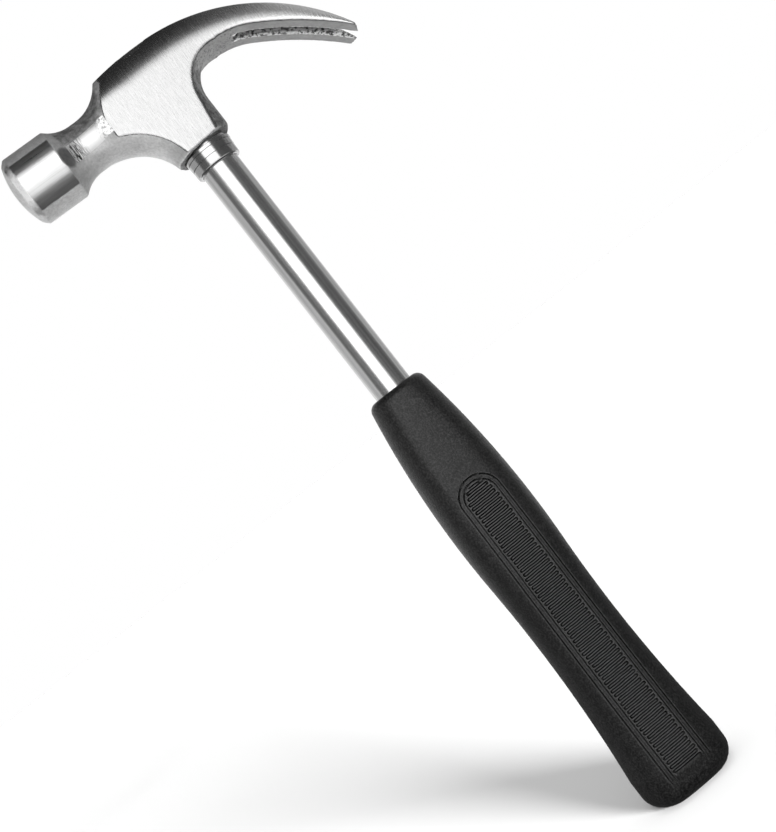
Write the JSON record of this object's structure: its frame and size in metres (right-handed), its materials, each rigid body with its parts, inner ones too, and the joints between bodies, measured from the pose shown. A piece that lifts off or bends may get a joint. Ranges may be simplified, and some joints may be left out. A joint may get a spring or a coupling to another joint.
{
  "type": "curved claw hammer",
  "caption": "Claw hammer with a forged steel head, a curved split claw, a chromed tube handle with a turned collar and a black rubber grip with ribbed side panels.",
  "frame": {"origin": "centre of the flat butt end of the grip, on the axis of the handle tube", "axes": "+Z along the handle from the butt to the head, +X towards the claw, -X towards the striking face, Y across the cheeks"},
  "size_m": [0.1331, 0.031, 0.327],
  "materials": {
    "head": "polished cheeks, crown and poll with fine brushing; satin grey as forged under the neck and the claw",
    "handle_tube": "bright chromed, finely drawn along the tube",
    "collar": "bright turned steel with fine turning lines",
    "eye_plug": "ground flush with the crown",
    "grip": "black satin rubber with a fine leathery grain"
  },
  "bodies": {
    "root": {"head": "head", "handle_tube": "handle_tube", "collar": "collar", "eye_plug": "eye_plug", "grip": "grip"}
  },
  "joints": []
}
